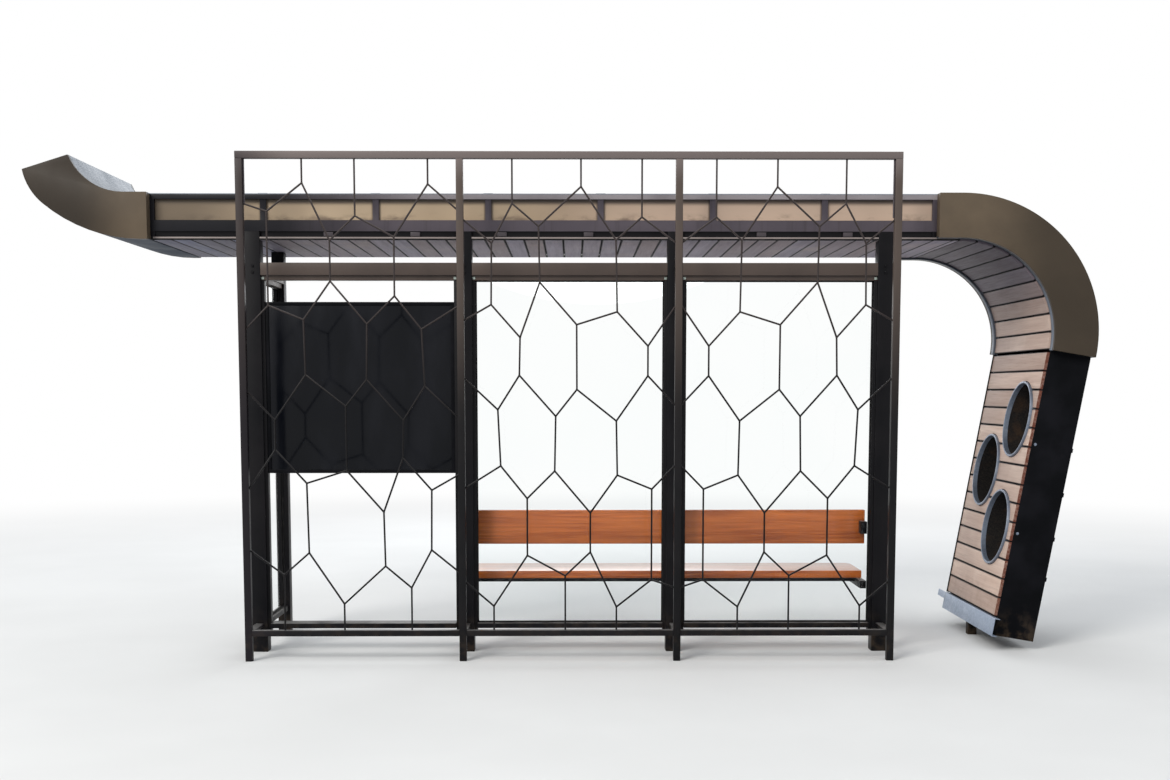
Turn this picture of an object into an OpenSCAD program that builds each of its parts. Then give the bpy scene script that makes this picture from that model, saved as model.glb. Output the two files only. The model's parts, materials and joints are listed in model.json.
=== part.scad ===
// Bus shelter with a ribbon roof that sweeps up at one end and comes down as a planted leg at the
// other, and a climbing frame behind it.
// X runs along the shelter towards the leg, Y from the climbing frame towards the road, Z up.
// The origin is on the ground, at the centre of the second back column's foot.

/* [Bays] */
// Distance between the centres of two columns
bay_w = 1350; // [1150:10:1600]
// Width of a column along the shelter
col_w = 98; // [70:1:130]
// Depth of a column across the shelter
col_d = 100; // [70:1:130]
// Side of the single post at the road side
front_post_w = 85; // [60:1:110]
// Distance from the back columns' centre line to the road side post's centre
front_post_y = 760; // [600:10:900]

/* [Ribbon] */
// Height of the flat roof's top above the ground
roof_top = 2950; // [2700:10:3300]
// Depth of the ribbon from back to road side
ribbon_d = 1150; // [950:10:1400]
// Thickness of the flat ribbon without its boards
ribbon_t = 272; // [220:2:330]
// Length of the flat ribbon beyond the first column
left_run = 643; // [400:1:900]
// Length of the flat ribbon beyond the last column
right_run = 321; // [250:1:600]
// Straight piece of the closed ribbon before it curves down
arch_lead = 149; // [50:1:300]
// Outer radius of the curve down to the leg
arch_r = 886; // [800:1:1000]
// Angle by which the leg leans in from upright
leg_lean = 9.8; // [4:0.1:14]
// How far the closed side panels stand out from the flat frame and the leg's side plates
clad_out = 72; // [45:1:110]
// Thickness of the closed side panels
cheek_t = 30; // [15:1:40]
// Thickness of the end plates that join the side panels to the flat frame
return_t = 12; // [5:1:25]
// Thickness of the roof, end and leg sheets
sheet_t = 5; // [3:1:10]

/* [Upswept end] */
// Radius of the upswept end's top face
up_top_r = 362; // [300:1:450]
// Straight piece of top before the upswept end rises
up_lead = 149; // [60:1:260]
// How far beyond the flat frame the underside's curve starts
up_under_lead = 47; // [10:1:120]
// Radius of the upswept end's underside
up_under_r = 942; // [850:1:1100]
// Angle of the underside's long curve
up_under_angle = 40; // [30:1:44]
// Radius of the underside's short curve at the tip
up_tip_r = 357; // [250:1:420]
// Angle at which the short curve ends
up_tip_angle = 80; // [70:1:84]
// Angle of the top face's curve
up_top_angle = 68.5; // [55:0.5:74]

/* [Flat frame] */
// Height of the flat frame's top bar
top_chord_h = 35; // [25:1:50]
// Height of the flat frame's lower bar
low_chord_h = 70; // [50:1:90]
// Height of the set-back strip between the lower bar and the boards
batten_h = 35; // [20:1:50]
// Depth of the flat frame's bars
chord_d = 50; // [35:1:70]
// How far the strip is set back from the bars' face
batten_recess = 20; // [8:1:30]
// How far the panel is set back from the bars' face
panel_recess = 26; // [14:1:32]
// Thickness of the set-back panel
panel_t = 6; // [3:1:10]
// Number of panel fields along the flat frame
panel_fields = 7; // [4:1:10]
// Width of an upright between two panel fields
upright_w = 38; // [20:1:60]
// Width of the frame's end posts
end_post_w = 27; // [15:1:40]

/* [Boards] */
// Thickness of a board
board_t = 21; // [18:1:35]
// Distance between the centres of two boards down the leg
board_pitch = 125; // [100:0.5:150]
// Distance between the centres of two boards under the flat roof
soffit_pitch = 124.5; // [100:0.5:150]
// Gap between two boards
board_gap = 8; // [4:0.5:12]
// How far the boards end short of the flat frame's faces
board_inset = 5; // [3:1:15]
// Number of boards round the curve
arch_boards_n = 9; // [5:1:11]
// Gap between the curve's last board and the leg's first
leg_joint = 12; // [5:1:20]
// Gap between the upswept end and the first board
end_joint = 16; // [8:1:30]
// How far the edge strip at the back of the curve covers the ends of the boards
rear_trim_cover = 8; // [4:1:16]
// How far the edge strip at the road side of the curve stands proud of the boards
front_trim_proud = 13; // [5:1:25]
// How far both edge strips lap the leg's side plates
trim_lap = 4; // [2:1:8]

/* [Leg] */
// Thickness of the leg's side plates
leg_plate_t = 12; // [8:1:20]
// Width of the flanges along the leg's side plates
leg_flange_w = 50; // [30:1:52]
// Thickness of those flanges
leg_flange_t = 10; // [6:1:16]
// Height of the galvanised skirt under the boards
skirt_h = 118; // [60:1:140]
// Least height of the skirt's lower edge above the ground
skirt_clear = 90; // [40:1:150]
// How far the skirt stands proud of the boards
skirt_proud = 15; // [5:1:30]
// Thickness of the skirt
skirt_t = 4; // [2:1:6]
// Length of the strap that goes on past the skirt at the road side
tab_l = 180; // [80:5:240]
// Height of that strap
tab_h = 48; // [25:1:60]
// Height of the beam inside the leg's lower end
base_beam_h = 100; // [60:5:140]
// Width of that beam and of the stub foot under it
foot_w = 60; // [35:1:80]
// Distance of the stub foot from the flat frame's back face
foot_y = 650; // [200:10:900]
// Height of the rails inside the leg that the planters rest on
leg_rail_h = 60; // [40:5:100]

/* [Planters] */
// Outer diameter of a planter tube
planter_d = 508; // [420:2:530]
// Wall of a planter tube
planter_wall = 12; // [6:1:20]
// How far a planter stands proud of the boards
planter_proud = 14; // [6:1:25]
// Depth of a planter behind the boards' face
planter_depth = 230; // [150:5:260]
// Gap between a planter and the boards
planter_gap = 4; // [2:1:8]
// Distance of the first planter from the flat frame's back face
planter_1_y = 315; // [290:5:340]
// Distance of the first planter down the leg
planter_1_s = 458; // [400:1:462]
// Distance of the second planter from the flat frame's back face
planter_2_y = 785; // [770:5:820]
// Distance of the second planter down the leg
planter_2_s = 828; // [822:1:842]
// Distance of the third planter from the flat frame's back face
planter_3_y = 330; // [290:5:340]
// Distance of the third planter down the leg
planter_3_s = 1193; // [1188:1:1300]

/* [Beams and glazing] */
// Height of the beam's top above the ground
beam_top = 2516; // [2350:5:2600]
// Height of the beam
beam_h = 80; // [50:1:110]
// Height of the glazing channel under the beam
head_channel_h = 30; // [20:1:45]
// Width of the glazing channels beside the columns
channel_w = 20; // [12:1:30]
// Depth of all glazing channels
channel_d = 60; // [40:1:80]
// Height of the side channels' lower ends above the ground
channel_low = 100; // [60:5:140]
// Height of the base rail's top above the ground
base_rail_top = 187; // [160:1:260]
// Height of the base rail
base_rail_h = 32; // [20:1:50]
// Depth of the base rail
base_rail_d = 120; // [80:1:150]
// Thickness of a glass pane
glass_t = 10; // [6:1:16]

/* [Display panel] */
// Height of the display panel's lower edge above the ground
panel_low = 1169; // [900:1:1300]
// Height of the display panel
display_h = 1100; // [800:10:1200]
// Thickness of the display panel
display_t = 36; // [20:1:50]

/* [Bench] */
// Height of the seat's top above the ground
seat_top = 500; // [440:5:560]
// Thickness of the seat and the back board
plank_t = 50; // [35:1:60]
// Depth of the seat
seat_d = 430; // [350:5:480]
// Distance from the columns' centre line to the seat
seat_y = 200; // [170:5:260]
// Radius of the seat's corner at the road side
seat_corner_r = 60; // [20:5:100]
// Height of the back board
back_h = 225; // [150:5:280]
// Distance from the seat's top to the back board
back_gap = 190; // [120:5:260]
// Distance from the columns' centre line to the back board
back_y = 125; // [110:5:150]
// Width of the bench's brackets
bracket_w = 40; // [25:1:60]
// Height of the arm under the seat
arm_h = 50; // [30:1:70]
// Height of the bracket that holds the back board
back_bracket_h = 80; // [50:5:120]
// Width of the rail under the seat
bench_rail_w = 40; // [25:1:60]
// Height of the rail under the seat
bench_rail_h = 22; // [15:1:30]
// Gap between that rail and the arms
bench_rail_gap = 2; // [1:1:6]

/* [Climbing frame] */
// Distance from the columns' centre line to the climbing frame's
trellis_y = 360; // [250:5:450]
// Height of the climbing frame
trellis_top = 3160; // [2600:10:3400]
// Side of a post and height of the top rail
trellis_post_w = 44; // [30:1:60]
// Height of the bottom rail's top above the ground
low_rail_top = 197; // [170:1:300]
// Height of the bottom rail
low_rail_h = 37; // [25:1:50]
// Diameter of a rod of the net
rod_d = 12; // [8:1:16]
// Width of the tie bars at the base
tie_w = 50; // [30:1:70]
// Thickness of the tie bars
tie_t = 20; // [12:1:26]

/* [Hidden] */
$fn = 48;

frame_brown = [0.23, 0.21, 0.20];
bronze = [0.43, 0.36, 0.28];
board_tan = [0.66, 0.58, 0.53];
black_steel = [0.09, 0.09, 0.09];
galvanised = [0.62, 0.67, 0.72];
glass_blue = [0.75, 0.86, 0.90];
timber = [0.72, 0.38, 0.20];
roof_grey = [0.75, 0.76, 0.77];
slate_blue = [0.30, 0.35, 0.42];

eps = 1;
col_x = [for (i = [0:3]) (i - 1) * bay_w];
rear_y = -col_d / 2;
front_y = rear_y + ribbon_d;
clad_y0 = rear_y - clad_out;
clad_y1 = front_y + clad_out;
left_x = col_x[0] - left_run;
right_x = col_x[3] + right_run;
arch_x = right_x + arch_lead;
arch_z = roof_top - arch_r;
back_z = roof_top - ribbon_t;
soffit_z = back_z - board_t;
arch_a = 90 + leg_lean;
leg_in = arch_r - ribbon_t;
leg_out = arch_r - sheet_t;
face_r = leg_in - board_t;
leg_room = (arch_z - leg_in * sin(leg_lean) - skirt_clear) / cos(leg_lean) - leg_joint - skirt_h;
leg_boards_n = floor(leg_room / board_pitch);
leg_run_l = leg_joint + leg_boards_n * board_pitch;
skirt_s = leg_run_l + board_gap / 2;
leg_end_s = skirt_s + skirt_h;
plate_y0 = rear_y + board_inset;
low_chord_z = back_z + batten_h;
channel_top = beam_top - beam_h - head_channel_h;
seat_low = seat_top - plank_t;
back_low = seat_top + back_gap;
bench_x0 = col_x[1];
bench_x1 = col_x[3] - col_w / 2 - channel_w;
top_rail_z = trellis_top - trellis_post_w;
net_z0 = low_rail_top;
net_h = top_rail_z - net_z0;
net_clear = bay_w - trellis_post_w;
tie_z = low_rail_top - low_rail_h / 2;

// One panel of the net, row by row from the top: thousandths of the bay across and of the net up
net_rows = [
    [[0, 910], [120, 891], [283, 950], [405, 831], [522, 882], [698, 838], [855, 948], [1000, 890]],
    [[0, 638], [120, 695], [280, 665], [405, 746], [570, 656], [698, 715], [820, 645], [1000, 697]],
    [[0, 522], [140, 453], [285, 549], [467, 482], [565, 539], [732, 452], [832, 525], [1000, 452]],
    [[0, 296], [140, 390], [282, 318], [468, 345], [637, 256], [728, 372], [860, 303], [1000, 340]],
    [[0, 178], [170, 120], [288, 168], [448, 57], [642, 139], [762, 92], [857, 174], [1000, 120]]
];

// Places a flat outline drawn in X and Z between two distances Y
module upright_plate(y0, y1) {
    translate([0, y1, 0])
        rotate([90, 0, 0])
            linear_extrude(height = y1 - y0)
                children();
}

// A box from its low corner to its high corner
module block(low, high) {
    translate(low)
        cube(high - low);
}

// A ring sector round the origin, its angles counted clockwise from straight up
module sector(r_in, r_out, a0, a1) {
    steps = ceil((a1 - a0) / 30);
    far = 1.2 * r_out;
    intersection() {
        difference() {
            circle(r = r_out, $fn = 180);
            circle(r = r_in, $fn = 180);
        }
        polygon(concat([[0, 0]],
            [for (i = [0:steps]) let (a = a0 + (a1 - a0) * i / steps) [far * sin(a), far * cos(a)]]));
    }
}

// Leg outlines are drawn upright beside the curve's centre, down from its end, and leant over here
module leant() {
    translate([arch_x, arch_z])
        rotate(-leg_lean)
            children();
}

// Place in X and Z of a point of the leg: its distance from the curve's centre line and down the leg
function leg_point(r, s) = [arch_x + r * cos(leg_lean) - s * sin(leg_lean),
    arch_z - r * sin(leg_lean) - s * cos(leg_lean)];

// A band that follows the ribbon from the flat frame's end round the curve, between two radii
module ribbon_band(x0, r_in, r_out) {
    translate([x0, arch_z + r_in])
        square([arch_x + eps - x0, r_out - r_in]);
    translate([arch_x, arch_z])
        sector(r_in, r_out, 0, arch_a);
}

// One rod of the net between two points of the panel, in the panel's own plane
module rod(a, b) {
    from = [a[0] * bay_w / 1000, a[1] * net_h / 1000];
    to = [b[0] * bay_w / 1000, b[1] * net_h / 1000];
    run = to - from;
    length = norm(run);
    over = rod_d * 0.29;
    translate(from)
        rotate(atan2(run[1], run[0]))
            translate([-over, -rod_d / 2])
                square([length + 2 * over, rod_d]);
}

// All rods of one panel: zigzag rows, and uprights that join one row's low points to the next
module net_rods() {
    for (row = net_rows)
        for (i = [0:len(row) - 2])
            rod(row[i], row[i + 1]);
    for (k = [0:len(net_rows)])
        for (i = [0:2]) {
            j = 2 * i + (k % 2 == 0 ? 2 : 1);
            low = k < len(net_rows) ? net_rows[k][j] : [net_rows[k - 1][j][0], -20];
            high = k > 0 ? net_rows[k - 1][j] : [net_rows[0][j][0], 1020];
            rod(low, high);
        }
}

module net_panel(bay, flip_x, flip_z) {
    color(frame_brown)
        translate([col_x[bay] + bay_w / 2, 0, net_z0 + net_h / 2])
            upright_plate(-trellis_y - rod_d / 2, -trellis_y + rod_d / 2)
                intersection() {
                    mirror([flip_x ? 1 : 0, 0])
                        mirror([0, flip_z ? 1 : 0])
                            translate([-bay_w / 2, -net_h / 2])
                                net_rods();
                    square([net_clear, net_h], center = true);
                }
}

module trellis_post(i) {
    half = trellis_post_w / 2;
    color(frame_brown)
        block([col_x[i] - half, -trellis_y - half, 0], [col_x[i] + half, -trellis_y + half, top_rail_z]);
}

module trellis_top_rail() {
    half = trellis_post_w / 2;
    color(frame_brown)
        block([col_x[0] - half, -trellis_y - half, top_rail_z], [col_x[3] + half, -trellis_y + half, trellis_top]);
}

module trellis_bottom_rail() {
    half = trellis_post_w / 2;
    color(frame_brown)
        for (i = [0:2])
            block([col_x[i] + half, -trellis_y - half, low_rail_top - low_rail_h],
                [col_x[i + 1] - half, -trellis_y + half, low_rail_top]);
}

module trellis_ties() {
    color(frame_brown)
        for (x = col_x)
            block([x - tie_w / 2, -trellis_y + trellis_post_w / 2, tie_z - tie_t / 2],
                [x + tie_w / 2, rear_y, tie_z + tie_t / 2]);
}

// A column with the glazing channels on the sides where a pane or panel meets it
module column(i) {
    x = col_x[i];
    color(frame_brown)
        union() {
            block([x - col_w / 2, rear_y, 0], [x + col_w / 2, -rear_y, low_chord_z]);
            if (i > 0)
                block([x - col_w / 2 - channel_w, -channel_d / 2, channel_low], [x, channel_d / 2, channel_top]);
            if (i < 3)
                block([x, -channel_d / 2, channel_low], [x + col_w / 2 + channel_w, channel_d / 2, channel_top]);
        }
}

module front_post() {
    half = front_post_w / 2;
    color(frame_brown)
        block([col_x[0] - half, front_post_y - half, 0], [col_x[0] + half, front_post_y + half, soffit_z]);
}

module back_beam() {
    color(frame_brown)
        for (i = [0:2]) {
            x0 = col_x[i] + col_w / 2;
            x1 = col_x[i + 1] - col_w / 2;
            block([x0, rear_y, beam_top - beam_h], [x1, -rear_y, beam_top]);
            block([x0, -channel_d / 2, channel_top], [x1, channel_d / 2, beam_top - beam_h]);
        }
}

module side_beam() {
    y0 = -rear_y;
    y1 = front_post_y - front_post_w / 2;
    x = col_x[0];
    color(frame_brown) {
        block([x - front_post_w / 2, y0, beam_top - beam_h], [x + front_post_w / 2, y1, beam_top]);
        block([x - channel_d / 2, y0, channel_top], [x + channel_d / 2, y1, beam_top - beam_h]);
    }
}

// Base rails of the three bays and of the side pane
module base_rail() {
    low = base_rail_top - base_rail_h;
    color(frame_brown) {
        for (i = [0:2])
            block([col_x[i] + col_w / 2 + channel_w, rear_y, low],
                [col_x[i + 1] - col_w / 2 - channel_w, rear_y + base_rail_d, base_rail_top]);
        block([col_x[0] - channel_d / 2, -rear_y, low],
            [col_x[0] + channel_d / 2, front_post_y - front_post_w / 2, base_rail_top]);
    }
}

module back_glass() {
    color(glass_blue)
        for (i = [1:2])
            block([col_x[i] + col_w / 2 + channel_w, -glass_t / 2, base_rail_top],
                [col_x[i + 1] - col_w / 2 - channel_w, glass_t / 2, channel_top]);
}

module side_glass() {
    color(glass_blue)
        block([col_x[0] - glass_t / 2, -rear_y, base_rail_top],
            [col_x[0] + glass_t / 2, front_post_y - front_post_w / 2, channel_top]);
}

module display_panel() {
    color(black_steel)
        block([col_x[0] + col_w / 2 + channel_w, -display_t / 2, panel_low],
            [col_x[1] - col_w / 2 - channel_w, display_t / 2, panel_low + display_h]);
}

module bench_seat() {
    color(timber)
        translate([0, 0, seat_low])
            linear_extrude(height = plank_t)
                union() {
                    translate([bench_x0, seat_y])
                        square([bench_x1 - bench_x0 - seat_corner_r, seat_d]);
                    translate([bench_x0, seat_y])
                        square([bench_x1 - bench_x0, seat_d - seat_corner_r]);
                    translate([bench_x1 - seat_corner_r, seat_y + seat_d - seat_corner_r])
                        circle(r = seat_corner_r);
                }
}

module bench_back() {
    color(timber)
        block([bench_x0, back_y, back_low], [bench_x1, back_y + plank_t, back_low + back_h]);
}

function bracket_x(i) = min(col_x[i] + bracket_w / 2, bench_x1);

// Three wall brackets, each an arm under the seat and a stay to the back board, and rails between
module bench_brackets() {
    arm_l = seat_y + 0.85 * seat_d;
    mid = back_low + back_h / 2;
    color(frame_brown) {
        for (i = [1:3]) {
            block([bracket_x(i) - bracket_w, -rear_y, seat_low - arm_h], [bracket_x(i), arm_l, seat_low]);
            block([bracket_x(i) - bracket_w, -rear_y, mid - back_bracket_h / 2],
                [bracket_x(i), back_y, mid + back_bracket_h / 2]);
        }
        for (i = [1:2])
            block([bracket_x(i) + bench_rail_gap, seat_y, seat_low - bench_rail_h],
                [bracket_x(i + 1) - bracket_w - bench_rail_gap, seat_y + bench_rail_w, seat_low]);
    }
}

// Open frame of the flat ribbon, drawn for the back face; the road side is its mirror image
module roof_frame() {
    x0 = left_x;
    x1 = right_x;
    frame_top = roof_top - sheet_t;
    field = (x1 - x0) / panel_fields;
    union() {
        block([x0, rear_y, roof_top - top_chord_h], [x1, rear_y + chord_d, frame_top]);
        block([x0, rear_y, low_chord_z], [x1, rear_y + chord_d, low_chord_z + low_chord_h]);
        block([x0, rear_y + batten_recess, back_z], [x1, rear_y + chord_d, low_chord_z + eps]);
        for (x = [x0, x1 - end_post_w])
            block([x, rear_y, back_z], [x + end_post_w, rear_y + chord_d, frame_top]);
        for (i = [1:panel_fields - 1])
            block([x0 + i * field - upright_w / 2, rear_y + panel_recess / 3, low_chord_z],
                [x0 + i * field + upright_w / 2, rear_y + panel_recess, roof_top - top_chord_h]);
    }
}

module road_side() {
    translate([0, rear_y + front_y, 0])
        mirror([0, 1, 0])
            children();
}

module column_heads() {
    for (x = col_x)
        block([x - col_w / 2, rear_y - eps, 0], [x + col_w / 2, -rear_y, low_chord_z]);
}

module rear_roof_frame() {
    color(frame_brown)
        difference() {
            roof_frame();
            column_heads();
        }
}

module front_roof_frame() {
    color(frame_brown)
        road_side()
            roof_frame();
}

module fascia_panel() {
    block([left_x + end_post_w, rear_y + panel_recess, low_chord_z + low_chord_h],
        [right_x - end_post_w, rear_y + panel_recess + panel_t, roof_top - top_chord_h]);
}

module fascia_panels() {
    color(bronze) {
        fascia_panel();
        road_side()
            fascia_panel();
    }
}

// Points of the upswept end's top face and underside, a distance in from each
function up_top(inset) = [for (i = [0:10]) let (a = up_top_angle * i / 10)
    [left_x - up_lead - (up_top_r + inset) * sin(a), roof_top + up_top_r - (up_top_r + inset) * cos(a)]];
function up_under_c() = [left_x - up_under_lead, soffit_z + up_under_r];
function up_tip_c() = up_under_c() - (up_under_r - up_tip_r) * [sin(up_under_angle), cos(up_under_angle)];
function up_under(inset) = concat(
    [for (i = [0:8]) let (a = up_under_angle * i / 8)
        up_under_c() - (up_under_r - inset) * [sin(a), cos(a)]],
    [for (i = [1:8]) let (a = up_under_angle + (up_tip_angle - up_under_angle) * i / 8)
        up_tip_c() - (up_tip_r - inset) * [sin(a), cos(a)]]);
function reversed(list) = [for (i = [len(list) - 1:-1:0]) list[i]];
function last(list) = list[len(list) - 1];

module up_top_band() {
    polygon(concat([[left_x + eps, roof_top]], up_top(0), reversed(up_top(sheet_t)),
        [[left_x + eps, roof_top - sheet_t]]));
}

module up_under_band() {
    polygon(concat([[left_x, soffit_z]], up_under(0), reversed(up_under(sheet_t)),
        [[left_x, soffit_z + sheet_t]]));
}

// An end plate between a side panel and the flat frame's end post
module end_return(x, low_z) {
    block([x, clad_y0 + cheek_t - eps, low_z], [x + return_t, rear_y + chord_d, roof_top - sheet_t]);
}

module upsweep_cheek() {
    color(bronze)
        union() {
            upright_plate(clad_y0, clad_y0 + cheek_t)
                polygon(concat([[left_x, roof_top]], up_top(0), reversed(up_under(0)), [[left_x, soffit_z]]));
            end_return(left_x - return_t, soffit_z + sheet_t);
        }
}

module upsweep_cheeks() {
    upsweep_cheek();
    road_side()
        upsweep_cheek();
}

module roof_sheet() {
    color(roof_grey)
        union() {
            block([left_x, rear_y, roof_top - sheet_t], [right_x, front_y, roof_top]);
            upright_plate(clad_y0 + cheek_t, clad_y1 - cheek_t)
                up_top_band();
        }
}

module upsweep_underside() {
    color(slate_blue)
        upright_plate(clad_y0 + cheek_t, clad_y1 - cheek_t)
            up_under_band();
}

// The end plate lies between the ends of the top sheet and the underside
module upsweep_end() {
    low = last(up_under(sheet_t));
    high = last(up_top(sheet_t));
    along = (high - low) / norm(high - low);
    inward = sheet_t * [along[1], -along[0]];
    color(slate_blue)
        upright_plate(clad_y0 + cheek_t, clad_y1 - cheek_t)
            difference() {
                polygon([low, high, high + inward, low + inward]);
                up_top_band();
                up_under_band();
            }
}

// Soffit boards run from back to road side and are notched round the columns; the last is wider
module soffit_boards() {
    x0 = left_x + end_joint;
    count = floor((arch_x - x0) / soffit_pitch);
    color(board_tan)
        difference() {
            for (i = [0:count - 1])
                block([x0 + i * soffit_pitch, rear_y + board_inset, soffit_z],
                    [(i < count - 1 ? x0 + (i + 1) * soffit_pitch : arch_x) - board_gap,
                        front_y - board_inset, back_z]);
            column_heads();
        }
}

// A side panel of the curve, down to the edge strip's inner radius, with its end plate
module arch_cheek(r_in) {
    color(bronze)
        union() {
            upright_plate(clad_y0, clad_y0 + cheek_t)
                ribbon_band(right_x, r_in, arch_r);
            end_return(right_x, back_z + trim_lap);
        }
}

module arch_cheeks() {
    arch_cheek(leg_in - rear_trim_cover);
    road_side()
        arch_cheek(face_r - front_trim_proud);
}

module arch_skin() {
    color(bronze)
        upright_plate(clad_y0 + cheek_t, clad_y1 - cheek_t)
            ribbon_band(right_x, arch_r - sheet_t, arch_r);
}

module arch_boards() {
    step = arch_a / arch_boards_n;
    gap_a = board_gap / leg_in * 180 / PI;
    color(board_tan)
        upright_plate(rear_y + board_inset, front_y - board_inset)
            translate([arch_x, arch_z])
                for (i = [0:arch_boards_n - 1])
                    sector(face_r, leg_in, i * step, (i + 1) * step - gap_a);
}

// Edge strip under a side panel, from the panel to the leg's side plate and the boards' ends
module arch_trim(r_in) {
    upright_plate(clad_y0 + cheek_t, plate_y0)
        ribbon_band(right_x, r_in, leg_in + trim_lap);
}

module arch_trims() {
    color(slate_blue) {
        arch_trim(leg_in - rear_trim_cover);
        road_side()
            arch_trim(face_r - front_trim_proud);
    }
}

// A side plate that carries the curve and the bare leg, with a flange along each of the leg's edges
module leg_side() {
    color(black_steel)
        union() {
            upright_plate(plate_y0, plate_y0 + leg_plate_t)
                union() {
                    ribbon_band(right_x + return_t, leg_in, leg_out);
                    leant()
                        translate([leg_in + eps, -leg_end_s])
                            square([leg_out - leg_in - 2 * eps, leg_end_s + leg_flange_t]);
                }
            upright_plate(plate_y0, plate_y0 + leg_flange_w)
                leant()
                    for (x = [leg_in, leg_out - leg_flange_t])
                        translate([x, -leg_end_s])
                            square([leg_flange_t, leg_end_s - leg_flange_t]);
        }
}

module leg_side_rear() {
    leg_side();
}

module leg_side_front() {
    road_side()
        leg_side();
}

// The leg's back sheet with a rail behind each planter
module leg_back() {
    rail_x0 = face_r + planter_depth;
    color(black_steel)
        upright_plate(plate_y0 + leg_flange_w, front_y - board_inset - leg_flange_w)
            leant()
                union() {
                    translate([leg_out - sheet_t, -leg_end_s])
                        square([sheet_t, leg_end_s]);
                    for (s = [planter_1_s, planter_2_s, planter_3_s])
                        translate([rail_x0, -s - leg_rail_h / 2])
                            square([leg_out - eps - rail_x0, leg_rail_h]);
                }
}

// Moves a planter's own axis, along X, to its place on the leg's face
module on_leg(y, s) {
    translate([arch_x, rear_y + y, arch_z])
        rotate([0, leg_lean, 0])
            translate([face_r, 0, -s])
                rotate([0, 90, 0])
                    children();
}

module planter_holes() {
    for (p = [[planter_1_y, planter_1_s], [planter_2_y, planter_2_s], [planter_3_y, planter_3_s]])
        on_leg(p[0], p[1])
            translate([0, 0, -board_t])
                cylinder(d = planter_d + 2 * planter_gap, h = 3 * board_t, $fn = 96);
}

module leg_boards() {
    color(board_tan)
        difference() {
            upright_plate(rear_y + board_inset, front_y - board_inset)
                leant()
                    for (i = [0:leg_boards_n - 1])
                        translate([face_r, board_gap - leg_joint - (i + 1) * board_pitch])
                            square([board_t, board_pitch - board_gap]);
            planter_holes();
        }
}

// A planter is a tube with a closed end inside the leg
module planter(y, s) {
    color(galvanised)
        on_leg(y, s)
            difference() {
                translate([0, 0, -planter_proud])
                    cylinder(d = planter_d, h = planter_proud + planter_depth, $fn = 96);
                translate([0, 0, -planter_proud - eps])
                    cylinder(d = planter_d - 2 * planter_wall, h = planter_proud + planter_depth + eps - planter_wall,
                        $fn = 96);
            }
}

// The skirt is folded back at both edges to the leg's side plates; its upper part goes on as a strap
module leg_skirt() {
    x0 = face_r - skirt_proud;
    color(galvanised)
        union() {
            upright_plate(clad_y0, front_y)
                leant()
                    union() {
                        translate([x0, -leg_end_s])
                            square([skirt_t, skirt_h]);
                        for (s = [leg_end_s, skirt_s + skirt_t])
                            translate([x0, -s])
                                square([leg_in - x0, skirt_t]);
                    }
            upright_plate(front_y - eps, front_y + tab_l)
                leant()
                    translate([x0, -skirt_s - tab_h])
                        square([skirt_t, tab_h]);
        }
}

// A beam between the leg's side plates, and the stub foot under it
module leg_foot() {
    x0 = leg_in + leg_flange_t;
    low_in = leg_point(x0, leg_end_s);
    low_out = leg_point(x0 + foot_w, leg_end_s);
    color(black_steel)
        union() {
            upright_plate(plate_y0 + leg_plate_t, front_y - board_inset - leg_plate_t)
                leant()
                    translate([x0, -leg_end_s])
                        square([foot_w, base_beam_h]);
            upright_plate(rear_y + foot_y - foot_w / 2, rear_y + foot_y + foot_w / 2)
                polygon([[low_in[0], 0], [low_out[0], 0], leg_point(x0 + foot_w, leg_end_s - eps),
                    leg_point(x0, leg_end_s - eps)]);
        }
}

trellis_post(0);  // trellis_post_1
trellis_post(1);  // trellis_post_2
trellis_post(2);  // trellis_post_3
trellis_post(3);  // trellis_post_4
trellis_top_rail();
trellis_bottom_rail();
net_panel(0, false, false);  // trellis_net_1
net_panel(1, true, true);  // trellis_net_2
net_panel(2, false, true);  // trellis_net_3
trellis_ties();
column(0);  // column_1
column(1);  // column_2
column(2);  // column_3
column(3);  // column_4
front_post();
back_beam();
side_beam();
base_rail();
back_glass();
side_glass();
display_panel();
bench_seat();
bench_back();
bench_brackets();
rear_roof_frame();
front_roof_frame();
fascia_panels();
roof_sheet();
soffit_boards();
arch_cheeks();
arch_skin();
arch_boards();
arch_trims();
upsweep_cheeks();
upsweep_underside();
upsweep_end();
leg_side_rear();
leg_side_front();
leg_back();
leg_boards();
planter(planter_1_y, planter_1_s);  // planter_1
planter(planter_2_y, planter_2_s);  // planter_2
planter(planter_3_y, planter_3_s);  // planter_3
leg_skirt();
leg_foot();
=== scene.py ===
"""Looks of the bus shelter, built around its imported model. All lengths are in metres."""

import json
import math

import bmesh
import bpy
from mathutils import Matrix, Vector

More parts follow.
